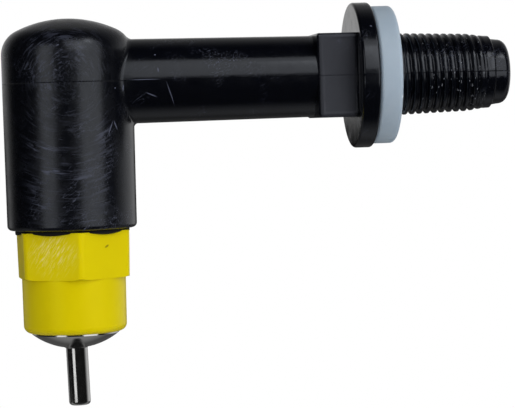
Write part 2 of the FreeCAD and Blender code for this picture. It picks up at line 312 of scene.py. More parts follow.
core = turned_about_nipple((0, CHAMBER_TOP_Z), [
    ("to", CHAMBER_R - 2.4, CHAMBER_TOP_Z),
    ("arc", CHAMBER_R - 2.4, CHAMBER_TOP_Z - 2.4, 90, 8),
    ("to", CHAMBER_R, NIPPLE_BORE_TOP_Z),
    ("to", NIPPLE_BORE_R, NIPPLE_BORE_TOP_Z),
    ("to", NIPPLE_BORE_R, MOUTH_Z - 1.0),
    ("to", 0, MOUTH_Z - 1.0),
])
channel = turned_about_arm((NIPPLE_X, 0), [
    ("to", NIPPLE_X, CHANNEL_R),
    ("to", SPIGOT_ROOT_X + 1.0, CHANNEL_R),
    ("to", SPIGOT_ROOT_X + 1.0, 0),
])
elbow = combine(combine(socket, arm, "UNION"), collar, "UNION")
elbow = combine(combine(elbow, core, "DIFFERENCE"), channel, "DIFFERENCE")
print("elbow open edges", open_edges(elbow), "faces", len(elbow.faces))

# %% [markdown]
# The spigot carries a tapered pipe thread. A thread can be modelled as a coil that is
# cut from a rod, but that leaves a ragged start and end. Here the spigot is a tube of
# close rings, and each ring's points move in towards the axis by the depth that the
# groove has at that place and angle. The same rule lets the groove fade out towards the
# nose and get shallower where the two halves of the mould meet.

# %% Elbow: the threaded spigot
THREAD_PITCH = 1.2
THREAD_DEPTH = 0.5
THREAD_TAPER = 1 / 32
FIRST_CREST_X = 2.25
THREAD_FADE = (11.6, 15.3)
NOSE_STEP_X = 15.6
NOSE_R = 5.2
NOSE_END_X = 18.5
NOSE_ROUND = 1.4
RINGS = 210

spigot = bmesh.new()
draw_outline(spigot, (SPIGOT_ROOT_X, SPIGOT_R), [("to", NOSE_STEP_X, SPIGOT_R)])
bmesh.ops.subdivide_edges(spigot, edges=spigot.edges[:], cuts=RINGS)
draw_outline(spigot, (NOSE_STEP_X, SPIGOT_R), [
    ("to", NOSE_STEP_X + 0.3, NOSE_R + 0.12),
    ("to", NOSE_STEP_X + 0.6, NOSE_R + 0.03),
    ("to", NOSE_END_X - NOSE_ROUND, NOSE_R - 0.08),
    ("arc", NOSE_END_X - NOSE_ROUND, NOSE_R - NOSE_ROUND - 0.08, 90, 8),
    ("to", NOSE_END_X, CHANNEL_R + 0.5),
    ("to", NOSE_END_X - 0.5, CHANNEL_R),
    ("to", SPIGOT_ROOT_X, CHANNEL_R),
])
turn(spigot, (0, 0, 0), (1, 0, 0))


def ramp(value, low, high):
    """0 below low, 1 above high, and smooth between."""
    t = min(max((value - low) / (high - low), 0.0), 1.0)
    return t * t * (3 - 2 * t)


def spigot_radius(x, angle):
    """Radius of the threaded surface at x, in millimetres, and at an angle about X."""
    crest_r = SPIGOT_R - THREAD_TAPER * max(x, 0.0)
    plain = ramp(x, *THREAD_FADE)
    crest_r -= plain * 0.32
    turns = (x - FIRST_CREST_X) / THREAD_PITCH - angle / math.tau
    from_crest = abs(turns - round(turns)) * 2
    groove = ramp(from_crest, 0.25, 0.95)
    at_split = math.exp(-(math.sin(angle) * crest_r / 0.35) ** 2)
    groove *= 1 - 0.55 * at_split
    start = ramp(x, 0.9, 1.6)
    return crest_r - THREAD_DEPTH * groove * start * (1 - plain)


for vert in spigot.verts:
    x = vert.co.x / MM
    across = Vector((0, vert.co.y, vert.co.z))
    if across.length / MM > NOSE_R + 0.2 and 0 < x < NOSE_STEP_X + 0.01:
        angle = math.atan2(across.z, across.y)
        across = across.normalized() * spigot_radius(x, angle) * MM
        vert.co.y, vert.co.z = across.y, across.z
print("spigot faces", len(spigot.faces), "thread turns", round(THREAD_FADE[1] / THREAD_PITCH, 1))

# %% [markdown]
# The spigot joins the rest where the washer hides it. Both ends have rings of the same
# number of points, so once the flat end faces are gone the rings merge into one skin.

# %% Elbow: one skin
root_faces = [f for f in elbow.faces if f.calc_center_median().x > (SPIGOT_ROOT_X - 0.001) * MM]
bmesh.ops.delete(elbow, geom=root_faces, context="FACES")
spigot_mesh = bpy.data.meshes.new("spigot")
spigot.to_mesh(spigot_mesh)
spigot.free()
elbow.from_mesh(spigot_mesh)
bpy.data.meshes.remove(spigot_mesh)
bmesh.ops.remove_doubles(elbow, verts=elbow.verts, dist=0.002 * MM)
print("one skin: open edges", open_edges(elbow))

# %% [markdown]
# Two mould halves leave a fine raised line where they meet, all round the elbow at the
# height of the arm's axis. Three cuts close together give it an edge on each side and a
# crest, and the crest's points on the outside are then lifted.

# %% Elbow: the split line
SPLIT_HALF_WIDTH = 0.07
SPLIT_LIFT = 0.06

for height in (SPLIT_HALF_WIDTH, 0.0, -SPLIT_HALF_WIDTH):
    bmesh.ops.bisect_plane(elbow, geom=elbow.verts[:] + elbow.edges[:] + elbow.faces[:],
                           dist=0.0002 * MM, plane_co=(0, 0, height * MM), plane_no=(0, 0, 1))
elbow.normal_update()
lifted = 0
for vert in elbow.verts:
    if abs(vert.co.z) > 0.001 * MM:
        continue
    x, y = vert.co.x / MM, vert.co.y / MM
    from_nipple = math.hypot(x - NIPPLE_X, y)
    in_socket = from_nipple > CHAMBER_R + 1.0 and x < socket_side_x + 0.1
    on_arm = x >= socket_side_x and abs(y) > CHANNEL_R + 1.2
    inside_box = abs(y) < FLANGE_R - 0.01 and x > NIPPLE_X - SOCKET_R + SPLIT_LIFT
    if (in_socket or on_arm) and inside_box:
        outward = Vector((vert.normal.x, vert.normal.y, 0))
        vert.co += outward.normalized() * SPLIT_LIFT * MM
        vert.co.y = max(min(vert.co.y, FLANGE_R * MM), -FLANGE_R * MM)
        lifted += 1
print("split line points lifted", lifted, "of", len(elbow.verts))
elbow_body = finish_piece("elbow", elbow, "drinker")
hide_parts("elbow_body")

# %% [markdown]
# The washer is soft silicone. It is turned with generous rounds, because a moulded
# rubber ring has no crisp edge, and its surface swells a little unevenly.

# %% Wall washer
WASHER_R = 10.95
WASHER_ROUND = 0.6

washer = turned_about_arm((WASHER_BACK_X, SPIGOT_R), [
    ("to", WASHER_BACK_X, WASHER_R - WASHER_ROUND),
    ("arc", WASHER_BACK_X + WASHER_ROUND, WASHER_R - WASHER_ROUND, 90, 8),
    ("to", -1.2, WASHER_R),
    ("to", -WASHER_ROUND, WASHER_R),
    ("arc", -WASHER_ROUND, WASHER_R - WASHER_ROUND, 90, 8),
    ("to", 0, SPIGOT_R),
    ("to", WASHER_BACK_X, SPIGOT_R),
])
for vert in washer.verts:
    across = Vector((0, vert.co.y, vert.co.z))
    if across.length / MM > WASHER_R - 1.0:
        dip = 0.05 * (1 + noise.noise(vert.co / (5 * MM)))
        vert.co -= across.normalized() * dip * MM
wall_washer = finish_piece("washer", washer, "drinker")
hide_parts("wall_washer")

# %% [markdown]
# A rubber ring sits between the socket's mouth and the nipple's hexagon. It is wider
# than the flats and narrower than the corners, so when the nipple is screwed home the
# rubber sags over each flat. The lower half of its section drops there.

# %% Socket seal
SEAL_R = 8.95
SEAL_SAG = 0.42
HEX_TURN_DEG = 5.2

seal_thick = MOUTH_Z - HEX_TOP_Z
seal = turned_about_nipple((NIPPLE_BORE_R + 0.05, MOUTH_Z), [
    ("to", SEAL_R - seal_thick / 2, MOUTH_Z),
    ("arc", SEAL_R - seal_thick / 2, (MOUTH_Z + HEX_TOP_Z) / 2, 180, 12),
    ("to", SEAL_R - 0.6, HEX_TOP_Z),
    ("to", NIPPLE_BORE_R + 0.05, HEX_TOP_Z),
    ("to", NIPPLE_BORE_R + 0.05, MOUTH_Z),
])
for vert in seal.verts:
    x, y = vert.co.x / MM - NIPPLE_X, vert.co.y / MM
    outer = ramp(math.hypot(x, y), 8.2, 8.5)
    low = ramp(MOUTH_Z - vert.co.z / MM, 0.0, seal_thick)
    angle = math.atan2(y, x) - math.radians(HEX_TURN_DEG - 90)
    over_flat = abs(math.sin(3 * angle)) ** 1.5
    vert.co.z -= SEAL_SAG * outer * low * over_flat * MM
socket_seal = finish_piece("seal", seal, "drinker", 60)
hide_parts("socket_seal")

# %% [markdown]
# The nipple's housing is one yellow moulding: a stem that screws into the socket, a
# hexagon and a round skirt with a rolled lip. The hexagon starts as a six-sided cone
# section, whose upright edges are softened by a bevel.

# %% Nipple housing: hexagon
HEX_FLATS = (16.7, 16.42)
HEX_BOTTOM_Z = -30.4
SKIRT_R = (8.13, 8.07)
SKIRT_BOTTOM_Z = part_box("nipple_housing")[0].z / MM
LIP_R = 1.15

hex_height = HEX_TOP_Z - HEX_BOTTOM_Z
hexagon = bmesh.new()
bmesh.ops.create_cone(hexagon, cap_ends=True, segments=6, depth=hex_height * MM,
                      radius1=HEX_FLATS[1] / math.sqrt(3) * MM,
                      radius2=HEX_FLATS[0] / math.sqrt(3) * MM)
upright = [e for e in hexagon.edges if abs(e.verts[0].co.z - e.verts[1].co.z) > 1 * MM]
bmesh.ops.bevel(hexagon, geom=upright, offset=0.6 * MM, segments=4, profile=0.5,
                affect="EDGES", material=-1)
corner = max(hexagon.verts, key=lambda v: v.co.xy.length).co
turn_to = math.radians(HEX_TURN_DEG - 90) - math.atan2(corner.y, corner.x)
bmesh.ops.rotate(hexagon, verts=hexagon.verts, cent=(0, 0, 0),
    matrix=Matrix.Rotation(turn_to, 3, "Z"))
bmesh.ops.translate(hexagon, verts=hexagon.verts,
                    vec=(NIPPLE_X * MM, 0, (HEX_TOP_Z + HEX_BOTTOM_Z) / 2 * MM))
# A turned drum with rounded ends takes the points off the corners and leaves the flats
HEX_DRUM_R = HEX_FLATS[0] / math.sqrt(3) - 0.12
drum = turned_about_nipple((0, HEX_TOP_Z), [
    ("to", HEX_DRUM_R - 0.2, HEX_TOP_Z),
    ("arc", HEX_DRUM_R - 0.2, HEX_TOP_Z - 0.2, 90, 4),
    ("to", HEX_DRUM_R, HEX_BOTTOM_Z + 0.8, 4),
    ("arc", HEX_DRUM_R - 0.8, HEX_BOTTOM_Z + 0.8, 90, 6),
    ("to", 0, HEX_BOTTOM_Z),
])
hexagon = combine(hexagon, drum, "INTERSECT")
print("hexagon faces", len(hexagon.faces), "turned by", round(math.degrees(turn_to), 1))

# %% Nipple housing: stem and skirt
STEM_TOP_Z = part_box("nipple_housing")[1].z / MM
CUP_R = 6.8
CUP_TOP_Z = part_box("valve_cup")[1].z / MM

stem_and_skirt = turned_about_nipple((0, STEM_TOP_Z), [
    ("to", NIPPLE_BORE_R - 0.85, STEM_TOP_Z),
    ("to", NIPPLE_BORE_R - 0.05, STEM_TOP_Z - 0.8),
    ("to", NIPPLE_BORE_R - 0.05, HEX_TOP_Z - 1.0),
    ("to", SKIRT_R[0] - 0.3, HEX_TOP_Z - 1.0),
    ("to", SKIRT_R[0], HEX_BOTTOM_Z + 0.2),
    ("to", SKIRT_R[1], SKIRT_BOTTOM_Z + LIP_R),
    ("arc", SKIRT_R[1] - LIP_R, SKIRT_BOTTOM_Z + LIP_R, 90, 10),
    ("to", 0, SKIRT_BOTTOM_Z),
])
inside = turned_about_nipple((0, STEM_TOP_Z + 1.0), [
    ("to", 5.0, STEM_TOP_Z + 1.0),
    ("to", 5.0, -26.4),
    ("to", 3.0, -26.4),
    ("to", 3.0, CUP_TOP_Z),
    ("to", CUP_R, CUP_TOP_Z),
    ("to", CUP_R, SKIRT_BOTTOM_Z - 1.0),
    ("to", 0, SKIRT_BOTTOM_Z - 1.0),
])
housing = combine(combine(hexagon, stem_and_skirt, "UNION"), inside, "DIFFERENCE")
nipple_housing = finish_piece("housing", housing, "drinker", 28)
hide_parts("nipple_housing")

# %% [markdown]
# The valve cup is turned from stainless bar. Only its convex bottom shows: a short
# bright land just under the plastic lip, then the cone that runs down to the pin's
# hole, whose edge is broken so that it doesn't cut the pin.

# %% Valve cup
CUP_BALL_R = 11.0
CUP_BOTTOM_Z = -41.55
HOLE_R = 2.4
BALL_R = 3.6
PIVOT_Z = CUP_BOTTOM_Z + 3.2

cup_centre_z = CUP_BOTTOM_Z + CUP_BALL_R
edge_degrees = math.degrees(math.asin(6.55 / CUP_BALL_R))
hole_degrees = math.degrees(math.asin((HOLE_R + 0.15) / CUP_BALL_R))
land_z = cup_centre_z - CUP_BALL_R * math.cos(math.radians(edge_degrees))
hole_z = cup_centre_z - CUP_BALL_R * math.cos(math.radians(hole_degrees))
cup = turned_about_nipple((4.8, CUP_TOP_Z), [
    ("to", CUP_R, CUP_TOP_Z),
    ("to", CUP_R, land_z + 0.2),
    ("to", 6.55, land_z),
    ("arc", 0, cup_centre_z, edge_degrees - hole_degrees, 20),
    ("to", HOLE_R, hole_z + 0.12),
    ("to", HOLE_R, -40.4),
    ("to", 4.4, -38.75),
    ("to", 4.4, -32.4),
    ("to", 4.8, -32.4),
    ("to", 4.8, CUP_TOP_Z),
])
valve_cup = finish_piece("cup", cup, "drinker", 30)
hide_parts("valve_cup")

# %% [markdown]
# The trigger pin hangs by a head whose underside is part of a ball, so it can lean any
# way and still seal. Its end is rounded, and it leans a little where it has come to rest.

# %% Trigger pin
PIN_R = 1.7
PIN_END_Z = -50.55
PIN_END_ROUND = 0.55
PIN_LEAN_DEG = 1.5

head_r = 3.3
neck_degrees = math.degrees(math.asin(PIN_R / BALL_R))
head_degrees = math.degrees(math.asin(head_r / BALL_R))
pin = turned_about_nipple((0, PIVOT_Z + 0.4), [
    ("to", head_r - 0.15, PIVOT_Z + 0.4),
    ("to", head_r, PIVOT_Z + 0.25),
    ("to", head_r, PIVOT_Z - BALL_R * math.cos(math.radians(head_degrees))),
    ("arc", 0, PIVOT_Z, head_degrees - neck_degrees, 14),
    ("to", PIN_R, PIN_END_Z + PIN_END_ROUND),
    ("arc", PIN_R - PIN_END_ROUND, PIN_END_Z + PIN_END_ROUND, 90, 7),
    ("to", 0, PIN_END_Z),
], 96)
bmesh.ops.rotate(pin, verts=pin.verts, cent=(NIPPLE_X * MM, 0, PIVOT_Z * MM),
                 matrix=Matrix.Rotation(math.radians(-PIN_LEAN_DEG), 3, "Y"))
trigger_pin = finish_piece("pin", pin, "trigger_pin", 30)
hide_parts("trigger_pin")

# %% [markdown]
# Every finish is a node material. Colours are written as sRGB hex and one function turns
# them to the linear values that the renderer wants. One more function adds a node, sets
# it up and links it.

# %% Material helpers
def to_linear(hex_colour):
    values = []
    for k in (1, 3, 5):
        c = int(hex_colour[k:k + 2], 16) / 255
        values.append(c / 12.92 if c <= 0.04045 else ((c + 0.055) / 1.055) ** 2.4)
    return (*values, 1.0)


def add_node(tree, kind, settings=None, inputs=None):
    """Adds a node; an input is set to a value, or linked if it is another node's output."""
    node = tree.nodes.new(kind)
    for key, value in (settings or {}).items():
        setattr(node, key, value)
    for key, value in (inputs or {}).items():
        if isinstance(value, bpy.types.NodeSocket):
            tree.links.new(value, node.inputs[key])
        else:
            node.inputs[key].default_value = value
    return node


def new_material(name):
    material = bpy.data.materials.new(name)
    material.use_nodes = True
    material.node_tree.nodes.clear()
    return material, material.node_tree


def finish_material(tree, shader):
    add_node(tree, "ShaderNodeOutputMaterial", None, {"Surface": shader.outputs[0]})


def per_metre(size_mm):
    """Texture scale that makes one cell of a pattern about size_mm across."""
    return 1 / (size_mm * MM)


# %% [markdown]
# The elbow is black polypropylene, injection moulded. A polished mould leaves the arm
# glossy. Handling has scuffed the socket: brushed strokes ring a point on its split line,
# fine ones nearly everywhere and bold ones in patches. A pattern that follows rings is a
# noise whose coordinates are the distance from that point and the angle about it: short
# steps across the rings and long ones along them draw a cell out into a stroke. Each mark
# changes the colour, the roughness and the height together.

# %% A mask for one mark
# Settings that many nodes share
SMOOTH = {"interpolation_type": "SMOOTHSTEP"}
TIMES = {"operation": "MULTIPLY"}
TIMES_PLUS = {"operation": "MULTIPLY_ADD"}
STRONGER = {"operation": "MAXIMUM"}
UNSIGNED = {"operation": "ABSOLUTE"}
COLOURS = {"data_type": "RGBA"}

# How far a mark reaches into the piece, so that it follows a curved face
MARK_DEPTH = 2.5


def mark_mask(tree, place, start, end, width):
    """1 along a line from start to end on the front, in millimetres, and 0 at its edge."""
    start, end = Vector(start), Vector(end)
    along = (end - start).normalized()
    inwards = Vector((0, 1, 0))
    inwards = (inwards - along * inwards.dot(along)).normalized()
    turned = Matrix((along, inwards, along.cross(inwards))).transposed()
    near = add_node(tree, "ShaderNodeMapping", {"vector_type": "TEXTURE"}, {
        "Vector": place, "Location": (start + end) / 2 * MM,
        "Rotation": turned.to_euler(),
        "Scale": Vector(((end - start).length / 2, MARK_DEPTH, width)) * MM})
    away = add_node(tree, "ShaderNodeVectorMath", {"operation": "LENGTH"}, {0: near.outputs[0]})
    return add_node(tree, "ShaderNodeMapRange", SMOOTH, {
        "Value": away.outputs["Value"], "From Min": 1.0, "From Max": 0.3}).outputs[0]


def all_marks(tree, place, marks):
    """The strongest of several masks."""
    strongest = 0.0
    for start, end, width in marks:
        one = mark_mask(tree, place, start, end, width)
        strongest = add_node(tree, "ShaderNodeMath", STRONGER, {0: strongest, 1: one}).outputs[0]
    return strongest


# %% Black polypropylene: strokes on the socket
# Where the strokes are dense: (start, end, half width) in millimetres
DENSE_SCUFFS = [
    ((-57.0, -8.6, -0.3), (-53.4, -10.0, -1.2), 1.1),
    ((-58.8, -7.2, -9.0), (-52.8, -10.1, -10.6), 1.3),
    ((-57.0, -8.6, -12.6), (-51.5, -10.2, -14.6), 1.2),
    ((-48.4, -9.8, -9.5), (-44.4, -7.5, -6.5), 1.0),
    ((-56.5, -8.8, -18.0), (-53.5, -10.0, -18.4), 0.9),
]
black, tree = new_material("black_moulded_polypropylene")
place = add_node(tree, "ShaderNodeTexCoord").outputs["Object"]
xyz = add_node(tree, "ShaderNodeSeparateXYZ", None, {0: place})
from_hub = add_node(tree, "ShaderNodeMapping", None, {
    "Vector": place, "Location": ((0.6 - NIPPLE_X) * MM, 0, -0.5 * MM)})
hub = add_node(tree, "ShaderNodeSeparateXYZ", None, {0: from_hub.outputs[0]})
hub_flat = add_node(tree, "ShaderNodeCombineXYZ", None,
    {"X": hub.outputs["X"], "Y": hub.outputs["Z"]})
ring_r = add_node(tree, "ShaderNodeVectorMath", {"operation": "LENGTH"}, {0: hub_flat.outputs[0]})
ring_angle = add_node(tree, "ShaderNodeMath", {"operation": "ARCTAN2"}, {
    0: hub.outputs["Z"], 1: hub.outputs["X"]})
rings = add_node(tree, "ShaderNodeCombineXYZ", None, {
    "X": ring_r.outputs["Value"], "Y": ring_angle.outputs[0], "Z": xyz.outputs["Y"]})
# A fine stroke is about 0.3 mm wide and a bold one 0.7 mm
fine_steps = add_node(tree, "ShaderNodeVectorMath", TIMES, {
    0: rings.outputs[0], 1: (per_metre(0.30), 3.5, per_metre(4.0))})
fine = add_node(tree, "ShaderNodeTexNoise", None, {
    "Vector": fine_steps.outputs[0], "Scale": 1.0, "Detail": 3.0, "Roughness": 0.6,
    "Distortion": 0.4})
fine_lines = add_node(tree, "ShaderNodeMapRange", SMOOTH, {
    "Value": fine.outputs[0], "From Min": 0.48, "From Max": 0.74})
bold_steps = add_node(tree, "ShaderNodeVectorMath", TIMES, {
    0: rings.outputs[0], 1: (per_metre(0.70), 2.6, per_metre(5.0))})
bold = add_node(tree, "ShaderNodeTexNoise", None, {
    "Vector": bold_steps.outputs[0], "Scale": 1.0, "Detail": 4.0, "Roughness": 0.65,
    "Distortion": 0.8})
bold_lines = add_node(tree, "ShaderNodeMapRange", SMOOTH, {
    "Value": bold.outputs[0], "From Min": 0.56, "From Max": 0.70})
# Broad patches choose where the strokes are dense
patch = add_node(tree, "ShaderNodeTexNoise", None, {
    "Vector": place, "Scale": per_metre(6.0), "Detail": 2.0, "Roughness": 0.5})
patch_some = add_node(tree, "ShaderNodeMapRange", SMOOTH, {
    "Value": patch.outputs[0], "From Min": 0.46, "From Max": 0.66, "To Max": 0.55})
patch_mask = add_node(tree, "ShaderNodeMath", STRONGER, {
    0: patch_some.outputs[0], 1: all_marks(tree, place, DENSE_SCUFFS)})
from_middle = add_node(tree, "ShaderNodeMath", UNSIGNED, {0: hub.outputs["X"]})
middle = add_node(tree, "ShaderNodeMapRange", SMOOTH, {
    "Value": from_middle.outputs[0], "From Min": 7.6 * MM, "From Max": 5.2 * MM, "To Min": 0.12})
on_socket = add_node(tree, "ShaderNodeMapRange", SMOOTH, {
    "Value": xyz.outputs["X"], "From Min": -40.8 * MM, "From Max": -43.5 * MM})
above_mouth = add_node(tree, "ShaderNodeMapRange", SMOOTH, {
    "Value": xyz.outputs["Z"], "From Min": -22.0 * MM, "From Max": -14.0 * MM, "To Min": 0.35})
fine_area = add_node(tree, "ShaderNodeMath", TIMES_PLUS, {
    0: patch_mask.outputs[0], 1: 0.5, 2: 0.16})
fine_area = add_node(tree, "ShaderNodeMath", TIMES, {
    0: fine_area.outputs[0], 1: above_mouth.outputs[0]})
fine_marks = add_node(tree, "ShaderNodeMath", TIMES, {
    0: fine_lines.outputs[0], 1: fine_area.outputs[0]})
bold_marks = add_node(tree, "ShaderNodeMath", TIMES, {
    0: bold_lines.outputs[0], 1: patch_mask.outputs[0]})
below = add_node(tree, "ShaderNodeMapRange", SMOOTH, {
    "Value": xyz.outputs["Z"], "From Min": 1.0 * MM, "From Max": -1.0 * MM, "To Min": 0.15})
bold_marks = add_node(tree, "ShaderNodeMath", TIMES, {
    0: bold_marks.outputs[0], 1: below.outputs[0]})
strokes = add_node(tree, "ShaderNodeMath", STRONGER, {
    0: fine_marks.outputs[0], 1: bold_marks.outputs[0]})
for area in (on_socket, middle):
    strokes = add_node(tree, "ShaderNodeMath", TIMES, {0: strokes.outputs[0], 1: area.outputs[0]})

# %% [markdown]
# Elsewhere the wear is lighter: a few hair scratches, and pale nicks on the thread. The
# spanner collar is hazy all over, where spanners have rubbed it.

# %% Black polypropylene: scratches, nicks and haze
# Hair scratches: noise drawn out along a slanting line, kept only at its ridge
slant = add_node(tree, "ShaderNodeMapping", {"vector_type": "TEXTURE"}, {
    "Vector": place, "Rotation": (0.35, 0.9, 0.2), "Scale": (1.0, 1.0, 14.0)})
hair = add_node(tree, "ShaderNodeTexNoise", None, {
    "Vector": slant.outputs[0], "Scale": per_metre(0.45), "Detail": 2.0})
hair_ridge = add_node(tree, "ShaderNodeMath", {"operation": "SUBTRACT"},
    {0: hair.outputs[0], 1: 0.5})
hair_ridge = add_node(tree, "ShaderNodeMath", UNSIGNED, {0: hair_ridge.outputs[0]})
hair_lines = add_node(tree, "ShaderNodeMapRange", SMOOTH, {
    "Value": hair_ridge.outputs[0], "From Min": 0.012, "From Max": 0.0})
hair_patch = add_node(tree, "ShaderNodeMapRange", SMOOTH, {
    "Value": patch.outputs[0], "From Min": 0.52, "From Max": 0.72})
hair_marks = add_node(tree, "ShaderNodeMath", TIMES, {
    0: hair_lines.outputs[0], 1: hair_patch.outputs[0]})
# Nicks on the thread: short dents along the crests, each up to about half a millimetre
nick_steps = add_node(tree, "ShaderNodeVectorMath", TIMES, {
    0: place, 1: (per_metre(0.26), per_metre(0.8), per_metre(0.8))})
nick_noise = add_node(tree, "ShaderNodeTexNoise", None, {
    "Vector": nick_steps.outputs[0], "Scale": 1.0, "Detail": 2.0, "Roughness": 0.5})
nick_spot = add_node(tree, "ShaderNodeMapRange", SMOOTH, {
    "Value": nick_noise.outputs[0], "From Min": 0.68, "From Max": 0.73})
from_nicks = add_node(tree, "ShaderNodeMath", {"operation": "SUBTRACT"},
    {0: xyz.outputs["X"], 1: 9.0 * MM})
from_nicks = add_node(tree, "ShaderNodeMath", UNSIGNED, {0: from_nicks.outputs[0]})
on_thread = add_node(tree, "ShaderNodeMapRange", SMOOTH, {
    "Value": from_nicks.outputs[0], "From Min": 6.5 * MM, "From Max": 2.5 * MM})
nicks = add_node(tree, "ShaderNodeMath", TIMES, {0: nick_spot.outputs[0], 1: on_thread.outputs[0]})
# The collar lies between two planes across the arm
collar_middle = (COLLAR_X + FLANGE_X[0]) / 2
from_collar = add_node(tree, "ShaderNodeMath", {"operation": "SUBTRACT"}, {
    0: xyz.outputs["X"], 1: collar_middle * MM})
from_collar = add_node(tree, "ShaderNodeMath", UNSIGNED, {0: from_collar.outputs[0]})
on_collar = add_node(tree, "ShaderNodeMapRange", SMOOTH, {
    "Value": from_collar.outputs[0], "From Min": (FLANGE_X[0] - collar_middle + 0.02) * MM,
    "From Max": (FLANGE_X[0] - collar_middle - 0.9) * MM})

# Single marks: a line left by an insert of the mould, two scratches and a few specks
SINGLE_MARKS = [
    ((-36.6, -6.6, 0.1), (-35.1, -5.1, -4.3), 0.09),
    ((-39.9, -6.3, -1.8), (-37.7, -6.0, -2.7), 0.12),
    ((-38.2, -5.3, 3.9), (-37.8, -5.3, 3.9), 0.14),
    ((-37.7, -6.4, 2.0), (-37.6, -6.4, 1.1), 0.12),
    ((-43.1, -6.0, -0.3), (-43.2, -6.0, -1.8), 0.14),
    ((-44.6, -7.5, -1.1), (-44.3, -7.5, -1.1), 0.15),
    ((-45.9, -8.4, -8.6), (-44.9, -7.9, -5.9), 0.12),
    ((-44.9, -7.9, -5.9), (-44.2, -7.2, -7.7), 0.12),
    ((-4.8, -8.8, 7.5), (-4.4, -8.8, 7.3), 0.16),
    ((-42.8, -6.6, 0.1), (-36.7, -6.6, 0.1), 0.08),
]

# %% Black polypropylene: colour, gloss and height
marks = add_node(tree, "ShaderNodeMath", STRONGER,
    {0: strokes.outputs[0], 1: hair_marks.outputs[0]})
marks = add_node(tree, "ShaderNodeMath", STRONGER, {
    0: marks.outputs[0], 1: all_marks(tree, place, SINGLE_MARKS)})
hazed = add_node(tree, "ShaderNodeMix", COLOURS, {
    "Factor": on_collar.outputs[0], "A": to_linear("#04050a"), "B": to_linear("#292a31")})
pale = add_node(tree, "ShaderNodeMix", COLOURS, {
    "Factor": marks.outputs[0], "A": hazed.outputs["Result"], "B": to_linear("#4d5163")})
worn = add_node(tree, "ShaderNodeMix", COLOURS, {
    "Factor": nicks.outputs[0], "A": pale.outputs["Result"], "B": to_linear("#8c9098")})
haze = add_node(tree, "ShaderNodeTexNoise", None, {
    "Vector": place, "Scale": per_metre(2.5), "Detail": 5.0, "Roughness": 0.65})
gloss = add_node(tree, "ShaderNodeMapRange", None, {
    "Value": haze.outputs[0], "From Min": 0.3, "From Max": 0.7, "To Min": 0.10, "To Max": 0.22})
socket_gloss = add_node(tree, "ShaderNodeMath", TIMES_PLUS, {
    0: on_socket.outputs[0], 1: 0.10, 2: gloss.outputs[0]})
collar_gloss = add_node(tree, "ShaderNodeMath", TIMES_PLUS, {
    0: on_collar.outputs[0], 1: 0.34, 2: socket_gloss.outputs[0]})
rough = add_node(tree, "ShaderNodeMath", {"operation": "MULTIPLY_ADD", "use_clamp": True}, {
    0: marks.outputs[0], 1: 0.30, 2: collar_gloss.outputs[0]})
peel = add_node(tree, "ShaderNodeTexNoise", None, {
    "Vector": place, "Scale": per_metre(1.2), "Detail": 3.0, "Roughness": 0.5})
height = add_node(tree, "ShaderNodeMath", TIMES_PLUS, {
    0: marks.outputs[0], 1: -0.6, 2: peel.outputs[0]})
bump = add_node(tree, "ShaderNodeBump", None, {
    "Height": height.outputs[0], "Strength": 0.35, "Distance": 0.03 * MM})
shader = add_node(tree, "ShaderNodeBsdfPrincipled", None, {
    "Base Color": worn.outputs["Result"], "Roughness": rough.outputs[0], "IOR": 1.49,
    "Specular Tint": (0.86, 0.91, 1.0, 1.0), "Normal": bump.outputs[0]})
finish_material(tree, shader)
print(black.name, len(tree.nodes), "nodes")

# %% [markdown]
# The nipple's housing is yellow polyethylene. Light goes a little way into it, so its
# shadows are warm. One flat of the hexagon is scuffed pale by a spanner.

# %% Yellow polyethylene
yellow, tree = new_material("yellow_moulded_polyethylene")
place = add_node(tree, "ShaderNodeTexCoord").outputs["Object"]
# The scuffed flat: how far along it and up it a point is, from the flat's middle
SCUFFED_FLAT_DEG = HEX_TURN_DEG - 120
flat_along = Vector((-math.sin(math.radians(SCUFFED_FLAT_DEG)),
    math.cos(math.radians(SCUFFED_FLAT_DEG)), 0))
flat_away = HEX_FLATS[0] / 2
flat_middle = Vector((NIPPLE_X + flat_away * math.cos(math.radians(SCUFFED_FLAT_DEG)),
                      flat_away * math.sin(math.radians(SCUFFED_FLAT_DEG)),
                      (HEX_TOP_Z + HEX_BOTTOM_Z) / 2))
scuff_way = Vector((0.55 * flat_along.x, 0.55 * flat_along.y, 0.84))
scuff_across = scuff_way.cross(Vector((flat_along.y, -flat_along.x, 0)))
on_flat = mark_mask(tree, place, flat_middle - 5.2 * flat_along, flat_middle + 5.2 * flat_along,
    4.4)
near_top = add_node(tree, "ShaderNodeMapRange", SMOOTH, {
    "Value": add_node(tree, "ShaderNodeSeparateXYZ", None, {0: place}).outputs["Z"],
    "From Min": -29.5 * MM, "From Max": -24.5 * MM, "To Min": 0.25})
along = add_node(tree, "ShaderNodeVectorMath", {"operation": "DOT_PRODUCT"},
    {0: place, 1: scuff_way * per_metre(1.8)})
across = add_node(tree, "ShaderNodeVectorMath", {"operation": "DOT_PRODUCT"}, {
    0: place, 1: scuff_across * per_metre(0.25)})
slanted = add_node(tree, "ShaderNodeCombineXYZ", None,
    {"X": along.outputs["Value"], "Y": across.outputs["Value"]})
grain = add_node(tree, "ShaderNodeTexNoise", None, {
    "Vector": slanted.outputs[0], "Scale": 1.0, "Detail": 4.0, "Roughness": 0.65,
    "Distortion": 0.3})
grain_mask = add_node(tree, "ShaderNodeMapRange", SMOOTH, {
    "Value": grain.outputs[0], "From Min": 0.46, "From Max": 0.68})
upper_flat = add_node(tree, "ShaderNodeMath", TIMES, {0: on_flat, 1: near_top.outputs[0]})
scuffed = add_node(tree, "ShaderNodeMath", TIMES, {
    0: grain_mask.outputs[0], 1: upper_flat.outputs[0]})
dents = add_node(tree, "ShaderNodeMapRange", SMOOTH, {
    "Value": grain.outputs[0], "From Min": 0.36, "From Max": 0.28})
